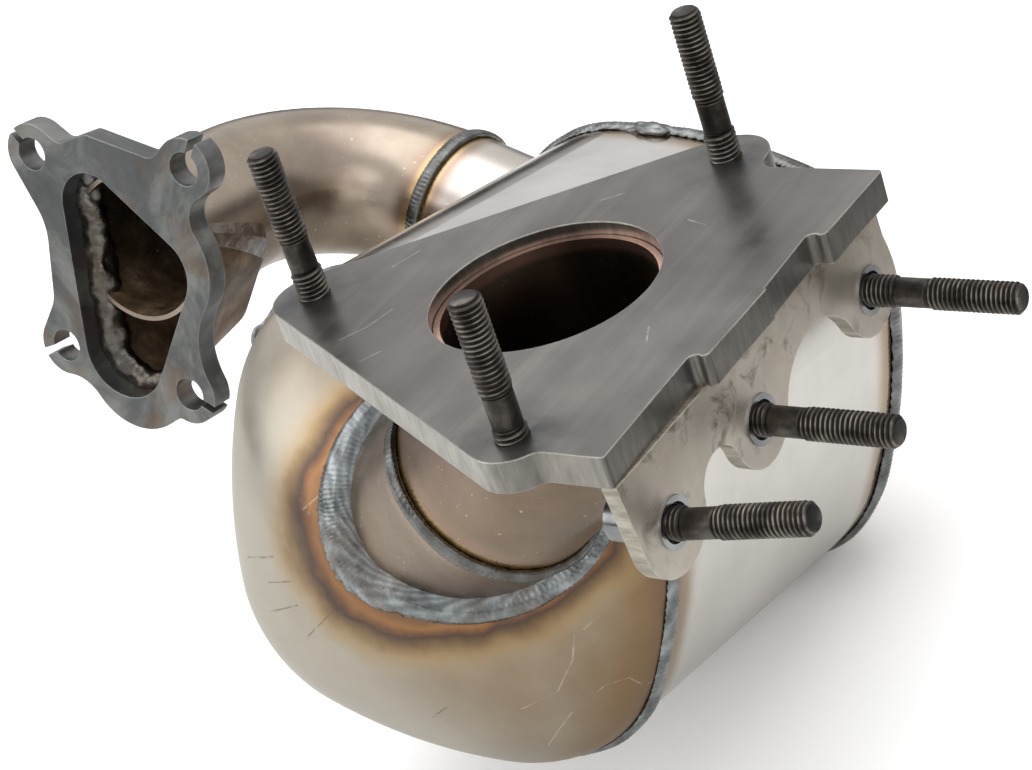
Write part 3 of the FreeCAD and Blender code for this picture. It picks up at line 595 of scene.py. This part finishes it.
def beadSteel(name, rough=0.0, sootyAndShaded=0.0, ring=None):
    graph = Graph(name + "Bead")
    ring = rings[ring or name]
    outward, angle, height = fromRing(graph, ring)
    across = graph.calc("ADD", graph.calc("MULTIPLY", outward, outward),
                        graph.calc("MULTIPLY", height, height))
    # slow swells of tone along the bead, several ripples long
    swells = round((ring["a"] + ring["b"]) / (2.0 * beadLook["ripplePitch"]))
    wander = graph.calc("MULTIPLY", graph.noise(120.0, 3.0), 9.0)
    phase = graph.calc("ADD", graph.calc("MULTIPLY", angle, swells), wander)
    phase = graph.calc("ADD", phase, graph.calc("MULTIPLY", across, 0.22))
    swell = graph.calc("MULTIPLY", graph.calc("ADD", graph.calc("SINE", phase), 1.0), 0.5)
    grain = graph.noise(170.0, 4.0, 0.6)
    share = 0.0 if rough else 0.16
    tone = graph.calc("ADD", graph.calc("MULTIPLY", swell, share),
                      graph.calc("MULTIPLY", grain, 1.0 - share))
    colour = graph.ramp(tone, [(0.25, beadLook["dark"]), (0.5, beadLook["pale"]),
                               (0.72, beadLook["gleam"])])
    brown = graph.spread(graph.noise(44.0, 3.0), 0.52 - rough, 0.72 - rough, 0.0, 0.3 + rough)
    colour = graph.blend(brown, colour, beadLook["brown"])
    # darkened by its share: partly soot, partly painted shade
    if sootyAndShaded:
        colour = graph.blend(sootyAndShaded, colour, beadLook["sootAndShade"])
    graph.put("Base Color", colour)
    graph.put("Roughness", graph.spread(grain, 0.25, 0.75, *beadLook["roughness"]))
    if not rough:
        graph.bump(swell, beadLook["swellDepth"], 0.6)
    graph.bump(grain, 0.0005 + 0.0025 * rough, 0.7)
    return graph


def surfaceOf(name):
    mesh = nodes[name].data
    return BVHTree.FromPolygons([vertex.co for vertex in mesh.vertices],
                                [tuple(face.vertices) for face in mesh.polygons])


def evenMesh(name):
    # the bead's own form in small even faces, which the ripples need
    draft = bpy.data.objects.new(name + "Draft", nodes[name].data.copy())
    bpy.context.scene.collection.objects.link(draft)
    even = draft.modifiers.new("even", "REMESH")
    even.mode = "VOXEL"
    even.voxel_size = beadLook["voxel"]
    relax = draft.modifiers.new("relax", "SMOOTH")
    relax.iterations = beadLook["relaxTimes"]
    view = bpy.context.evaluated_depsgraph_get()
    mesh = bpy.data.meshes.new_from_object(draft.evaluated_get(view))
    bpy.data.objects.remove(draft)
    return mesh


def rippledBead(name, outerPart, innerPart, material):
    mesh = evenMesh(name)
    outer, inner = surfaceOf(outerPart), surfaceOf(innerPart)
    ring = rings[name]
    centre, u, v = (Vector(ring[key]) for key in ("centre", "u", "v"))
    ripples = round(math.pi * (ring["a"] + ring["b"]) / beadLook["ripplePitch"])
    lifted = []
    for vertex in mesh.vertices:
        toOuter = outer.find_nearest(vertex.co)[3]
        toInner = inner.find_nearest(vertex.co)[3]
        slope = toInner / max(toInner + toOuter, 1e-6)  # 0 at the inner part, 1 at the outer
        offset = vertex.co - centre
        angle = math.atan2(offset.dot(v) / ring["b"], offset.dot(u) / ring["a"])
        bow = beadLook["rippleBow"] * (2.0 * slope - 1.0) ** 2  # each ripple bends back at both edges
        wobble = beadLook["rippleWobble"] * noise.noise(vertex.co * 180.0)
        wave = math.sin(ripples * angle + bow + wobble)
        if name == "outlet_port_weld":                  # only the outer lip stands proud of the stub
            sink = min(1.0, max(0.0, (portLip["start"] - slope) / portLip["over"]))
            foot, upright = inner.find_nearest(vertex.co)[:2]
            vertex.co = vertex.co.lerp(foot - upright * portLip["below"], sink)
        proud = min(1.0, min(toOuter, toInner) / beadLook["feather"])
        lift = beadLook["rippleHeight"] * wave + beadLook["sway"] * noise.noise(vertex.co * 90.0)
        lifted.append(vertex.co + vertex.normal * lift * proud)
    for vertex, spot in zip(mesh.vertices, lifted):
        vertex.co = spot
    addPiece(name + "Ripple", mesh, material, name)


# the lumpy weld inside the flange: two arcs, each x, y and radius, seen along the flange's axis
innerRun = {
    "upper": (-0.0084, 0.0158, 0.0112), "lower": (-0.0084, -0.0336, 0.0148), "depth": -0.0112,
    "thin": 0.0046, "thick": 0.0066, "height": 0.75, "taper": 6.0, "tip": 0.15,
    "coarse": 0.34, "fine": 0.16, "step": 0.0008, "arcSteps": 24, "around": 20,
}


def innerPath():
    spots = []
    for circle, first, last in ((innerRun["upper"], 15, 180), (innerRun["lower"], 180, 345)):
        for step in range(innerRun["arcSteps"] + 1):
            turn = math.radians(first + (last - first) * step / innerRun["arcSteps"])
            spots.append((circle[0] + circle[2] * math.cos(turn), circle[1] + circle[2] * math.sin(turn)))
    path = [spots[0]]
    for end in spots[1:]:                               # even steps along the run
        start = path[-1]
        pieces = max(1, round(math.dist(start, end) / innerRun["step"]))
        path += [(start[0] + (end[0] - start[0]) * index / pieces,
                  start[1] + (end[1] - start[1]) * index / pieces) for index in range(1, pieces + 1)]
    return path


def innerWeldRun(material):
    # thickest half way along, drawn in at both ends, with coarse and fine lumps
    path = innerPath()
    taper, tip = innerRun["taper"], innerRun["tip"]
    right, up, out = flangeAxes()
    origin = Vector(flangePlace["origin"])
    shape = bmesh.new()
    rows = []
    for index, (x, y) in enumerate(path):
        before, after = path[max(index - 1, 0)], path[min(index + 1, len(path) - 1)]
        along = Vector((after[0] - before[0], after[1] - before[1], 0.0)).normalized()
        square = Vector((along.y, -along.x, 0.0))
        share = index / (len(path) - 1)
        swell = math.sin(math.pi * share) ** 2
        width = innerRun["thin"] + (innerRun["thick"] - innerRun["thin"]) * swell
        width *= min(1.0, taper * share + tip, taper * (1.0 - share) + tip)
        middle = Vector((x, y, innerRun["depth"]))
        row = []
        for corner in range(innerRun["around"]):
            angle = 2 * math.pi * corner / innerRun["around"]
            local = middle + square * width * math.cos(angle)
            local += Vector((0.0, 0.0, width * innerRun["height"] * math.sin(angle)))
            rough = 1.0 + innerRun["coarse"] * noise.noise(local * 170.0)
            rough += innerRun["fine"] * noise.noise(local * 460.0)
            local = middle + (local - middle) * rough
            row.append(shape.verts.new(origin + right * local.x + up * local.y + out * local.z))
        rows.append(row)
    skin(shape, rows)
    bmesh.ops.recalc_face_normals(shape, faces=shape.faces)
    addPiece("innerWeldRun", meshOf("innerWeldRun", shape), material, "inner_weld")


for beadName, (outerPart, innerPart) in rippled.items():
    look = beadSteel(beadName, sootyAndShaded=beadLook["sootyAndShaded"].get(beadName, 0.1))
    rippledBead(beadName, outerPart, innerPart, look.material)
for beadName in ("inlet_port_weld", "plate_weld"):
    beadSteel(beadName).give(beadName)
for beadName in ("scoop_weld", "flange_weld"):
    beadSteel(beadName, rough=0.3).give(beadName)
innerWeldRun(beadSteel("inner_weld", rough=0.1, sootyAndShaded=0.62).material)
beadSteel("bracket_weld", ring="plate_weld").give("bracket_weld")
print("weld beads finished")

# a blob where each seam's bead was started and ended
lumps = {
    "frontSeamLump": {"bead": "front_seam_weld", "towards": (-0.86, 0.0, 0.5), "size": 0.0052, "seed": 3},
    "rearSeamLump": {"bead": "rear_seam_weld", "towards": (0.1, 0.0, 1.0), "size": 0.0048, "seed": 8},
}
lumpShape = {"side": 1.7, "along": 0.8, "out": 0.6, "sunk": 0.0015, "uneven": 0.35}


def weldLump(name, values):
    towards = Vector(values["towards"])
    corners = nodes[values["bead"]].data.vertices
    spot = Vector(max((vertex.co.dot(towards), tuple(vertex.co)) for vertex in corners)[1])
    along = Vector(rings[values["bead"]]["w"])
    out = towards.normalized()
    side = out.cross(along).normalized()
    spot -= out * lumpShape["sunk"]
    shape = bmesh.new()
    bmesh.ops.create_icosphere(shape, subdivisions=4, radius=1.0)
    for vertex in shape.verts:
        place = vertex.co.copy()
        swell = 1.0 + lumpShape["uneven"] * noise.noise(place * 1.7 + Vector((values["seed"], 0, 0)))
        place *= swell * values["size"]
        vertex.co = spot + side * place.x * lumpShape["side"] + along * place.y * lumpShape["along"]
        vertex.co += out * place.z * lumpShape["out"]
    material = bpy.data.materials[values["bead"] + "Bead"]
    addPiece(name, meshOf(name, shape), material)


for lumpName, lumpValues in lumps.items():
    weldLump(lumpName, lumpValues)
print("weld lumps placed")

zincLook = {"dark": rgb(126, 127, 129), "pale": rgb(176, 177, 180), "roughness": (0.16, 0.34)}


def zinc():
    graph = Graph("zincPlate", 1.0, 0.24)
    graph.put("Base Color", cloudy(graph, zincLook["dark"], zincLook["pale"], 60.0))
    graph.put("Roughness", graph.spread(graph.noise(160.0, 3.0), 0.3, 0.7, *zincLook["roughness"]))
    graph.bump(graph.noise(500.0, 2.0), 0.00003, 0.5)
    graph.give("bracket_sleeve_1", "bracket_sleeve_2", "bracket_sleeve_3")


matLook = {"dark": rgb(196, 190, 176), "pale": rgb(226, 222, 210)}


def matFibre():
    graph = Graph("matFibre", 0.0, 0.95)
    graph.put("Base Color", cloudy(graph, matLook["dark"], matLook["pale"], 90.0))
    graph.bump(graph.noise(900.0, 4.0), 0.0003, 0.8)
    graph.give("support_mat")


honeycomb = {"cell": 0.00127, "wall": 0.18, "colour": rgb(196, 178, 150), "cellShade": rgb(30, 26, 22)}


def ceramic():
    # square cells drawn across the brick, with thin walls between them
    graph = Graph("ceramicHoneycomb", 0.0, 0.85)
    offset = graph.vector("SUBTRACT", graph.place, rings["front_seam_weld"]["centre"])
    cut = None
    for axis in ("u", "v"):
        across = graph.vector("DOT_PRODUCT", offset, rings["front_seam_weld"][axis])
        step = graph.calc("FRACT", graph.calc("DIVIDE", across, honeycomb["cell"]))
        edge = graph.calc("GREATER_THAN", step, honeycomb["wall"])
        cut = edge if cut is None else graph.calc("MULTIPLY", cut, edge)
    # the cells are near black: painted shade down the open channels
    graph.put("Base Color", graph.blend(cut, honeycomb["colour"], honeycomb["cellShade"]))
    graph.give("catalyst_brick")


zinc()
matFibre()
ceramic()
print("sleeves, mat and honeycomb finished")

studSize = {
    "pitch": 0.00125, "tapRadius": 0.004, "nutRadius": 0.0039, "depth": 0.00068,
    "neckRadius": 0.00355, "neckLength": 0.008, "nutLength": 0.024, "chamfer": 0.001,
    "rootFlat": 0.12, "flank": 0.72, "runOut": 0.8, "hair": 0.0001, "around": 40, "rowsPerPitch": 8,
}
studLook = {
    "root": rgb(30, 28, 26), "flank": rgb(66, 62, 58), "crest": rgb(132, 126, 117),
    "blotch": rgb(74, 66, 58), "neckTone": 0.6, "hiddenTone": 0.2, "roughness": (0.28, 0.5),
}


def studSteel():
    graph = Graph("studSteel", 0.95)
    crest = graph.add("ShaderNodeAttribute", attribute_name="crest").outputs["Fac"]
    worn = graph.calc("MULTIPLY", crest, graph.spread(graph.noise(230.0, 3.0), 0.25, 0.7, 0.35, 1.0))
    tone = graph.ramp(worn, [(0.0, studLook["root"]), (0.5, studLook["flank"]), (1.0, studLook["crest"])])
    blotch = graph.spread(graph.noise(120.0, 4.0), 0.5, 0.72, 0.0, 0.45)
    graph.put("Base Color", graph.blend(blotch, tone, studLook["blotch"]))
    graph.put("Roughness", graph.spread(graph.noise(300.0, 3.0), 0.25, 0.75, *studLook["roughness"]))
    graph.bump(graph.noise(700.0, 4.0), 0.00006, 0.7)
    return graph.material


def studRadius(z, angle, values):
    # the radius at one point of the stud, and its tone from 0 in the root to 1 on the crest
    tapEnd = values["shown"]
    neckEnd = tapEnd + studSize["neckLength"]
    tip = neckEnd + studSize["nutLength"]
    if tapEnd <= z <= neckEnd:
        return studSize["neckRadius"], studLook["neckTone"]
    major = studSize["tapRadius"] if z < tapEnd else studSize["nutRadius"]
    if z < 0.0:                                         # the hidden end inside its hole is plain
        limit = major - max(0.0, studSize["chamfer"] - (z + values["tap"]))
        return min(major - studSize["hair"], limit), studLook["hiddenTone"]
    turn = (z / studSize["pitch"] - angle / (2 * math.pi)) % 1.0
    crest = 1.0 - abs(2.0 * turn - 1.0)
    crest = min(1.0, max(0.0, (crest - studSize["rootFlat"]) / studSize["flank"]))
    runOut = studSize["runOut"] * studSize["pitch"]
    fade = min(1.0, abs(z - (neckEnd if z > neckEnd else tapEnd)) / runOut)
    radius = major - studSize["depth"] * (1.0 - crest * fade)
    limit = major - max(0.0, studSize["chamfer"] - (tip - z))
    return min(radius, limit), crest * fade


def threadedStud(name, values, material):
    tapEnd = values["shown"]
    tip = tapEnd + studSize["neckLength"] + studSize["nutLength"]
    step = studSize["pitch"] / studSize["rowsPerPitch"]
    heights = [-values["tap"], -values["tap"] + studSize["chamfer"], -studSize["hair"]]
    heights += [step * index for index in range(int(tip / step) + 1)] + [tip]
    swing = math.radians(values.get("turn", 0.0))
    lean = Matrix.Rotation(math.radians(values.get("lean", 0.0)), 4,
                           Vector((-math.sin(swing), math.cos(swing), 0.0)))
    bend = Vector((0.0, 0.0, tapEnd))
    foot = Vector(values["foot"])
    shape = bmesh.new()
    crests = []
    rows = []
    for z in heights:
        row = []
        for index in range(studSize["around"]):
            angle = 2 * math.pi * index / studSize["around"]
            radius, crest = studRadius(z, angle, values)
            spot = Vector((radius * math.cos(angle), radius * math.sin(angle), z))
            if z > tapEnd:
                spot = bend + lean @ (spot - bend)
            if values["side"]:
                spot = Vector((spot.z, spot.x, spot.y))  # along +X instead of +Z
            row.append(shape.verts.new(foot + spot))
            crests.append(crest)
        rows.append(row)
    skin(shape, rows)
    mesh = meshOf(name + "Thread", shape)
    store = mesh.attributes.new("crest", "FLOAT", "POINT")
    store.data.foreach_set("value", crests)
    addPiece(name + "Thread", mesh, material, name, flatEnds=True)


studMaterial = studSteel()
for studName, studValues in studs.items():
    threadedStud(studName, studValues, studMaterial)
print("studs threaded")

# white to the camera; in the light that it throws back it is pale near the part and dark further off
floorLook = {
    "size": 7.0, "gap": 0.0005, "seen": (1.0, 1.0, 1.0, 1.0), "near": rgb(230, 230, 228),
    "far": rgb(62, 59, 55), "nearMiddle": (-0.45, -0.3, 0.0), "nearReach": 0.72, "farReach": 1.15,
}


def floor():
    mesh = bpy.data.meshes.new("floor")
    half = floorLook["size"] / 2.0
    low = cadLow.z - floorLook["gap"]
    mesh.from_pydata([(-half, -half, low), (half, -half, low), (half, half, low), (-half, half, low)],
                     [], [(0, 1, 2, 3)])
    piece = bpy.data.objects.new("floor", mesh)
    bpy.context.scene.collection.objects.link(piece)
    graph = Graph("floorPaper", 0.0, 1.0)
    path = graph.add("ShaderNodeLightPath")
    away = graph.vector("LENGTH", graph.vector("SUBTRACT", graph.place, floorLook["nearMiddle"]))
    bounce = graph.blend(graph.spread(away, floorLook["nearReach"], floorLook["farReach"]),
                         floorLook["near"], floorLook["far"])
    graph.put("Base Color", graph.blend(path.outputs["Is Camera Ray"], bounce, floorLook["seen"]))
    graph.put("Specular IOR Level", 0.0)
    mesh.materials.append(graph.material)


lights = {
    "top": {"at": (-0.3, 0.3, 1.3), "size": (1.8, 1.6), "watts": 17.0},
    "left": {"at": (-1.2, -0.9, 0.6), "size": (1.3, 1.2), "watts": 8.0},
    "right": {"at": (1.0, -0.7, 0.6), "size": (1.0, 1.0), "watts": 4.0},
}
aim = Vector((-0.08, 0.05, -0.06))


def softLight(name, values):
    lamp = bpy.data.lights.new(name, "AREA")
    lamp.shape = "RECTANGLE"
    lamp.size, lamp.size_y = values["size"]
    lamp.energy = values["watts"]
    piece = bpy.data.objects.new(name, lamp)
    piece.location = values["at"]
    piece.rotation_euler = (aim - Vector(values["at"])).to_track_quat("-Z", "Y").to_euler()
    bpy.context.scene.collection.objects.link(piece)


room = {
    "up": (1.0, 1.0, 1.0, 1.0), "level": (0.36, 0.35, 0.34, 1.0), "change": (0.02, 0.1),
    "strength": 0.92,
}


def studioWorld():
    # grey at the horizon and below it, white overhead
    world = bpy.data.worlds.new("studio")
    bpy.context.scene.world = world
    world.use_nodes = True
    tree = world.node_tree
    tree.nodes.clear()
    output = tree.nodes.new("ShaderNodeOutputWorld")
    background = tree.nodes.new("ShaderNodeBackground")
    coordinates = tree.nodes.new("ShaderNodeTexCoord")
    split = tree.nodes.new("ShaderNodeSeparateXYZ")
    shade = tree.nodes.new("ShaderNodeValToRGB")
    colours = (room["level"], room["up"])
    for element, position, colour in zip(shade.color_ramp.elements, room["change"], colours):
        element.position = position
        element.color = colour
    tree.links.new(coordinates.outputs["Generated"], split.inputs[0])
    tree.links.new(split.outputs["Z"], shade.inputs[0])
    tree.links.new(shade.outputs["Color"], background.inputs["Color"])
    tree.links.new(background.outputs["Background"], output.inputs["Surface"])
    background.inputs["Strength"].default_value = room["strength"]


lens = {
    "length": 97.0, "sensor": 36.0, "nearest": 0.01, "at": (0.38608, -0.43214, 0.29341),
    "right": (0.79671, 0.53038, -0.28974), "up": (-0.06841, 0.55548, 0.82871),
    "back": (0.60048, -0.64042, 0.47884),
}


def camera():
    data = bpy.data.cameras.new("camera")
    data.lens = lens["length"]
    data.sensor_width = lens["sensor"]
    data.sensor_fit = "HORIZONTAL"
    data.clip_start = lens["nearest"]
    turn = Matrix((lens["right"], lens["up"], lens["back"])).transposed().to_4x4()
    piece = bpy.data.objects.new("camera", data)
    piece.matrix_world = Matrix.Translation(Vector(lens["at"])) @ turn
    bpy.context.scene.collection.objects.link(piece)
    bpy.context.scene.camera = piece


floor()
for lightName, lightValues in lights.items():
    softLight(lightName, lightValues)
studioWorld()
camera()
bpy.context.scene.view_settings.view_transform = "Standard"
print("floor, light and camera set")
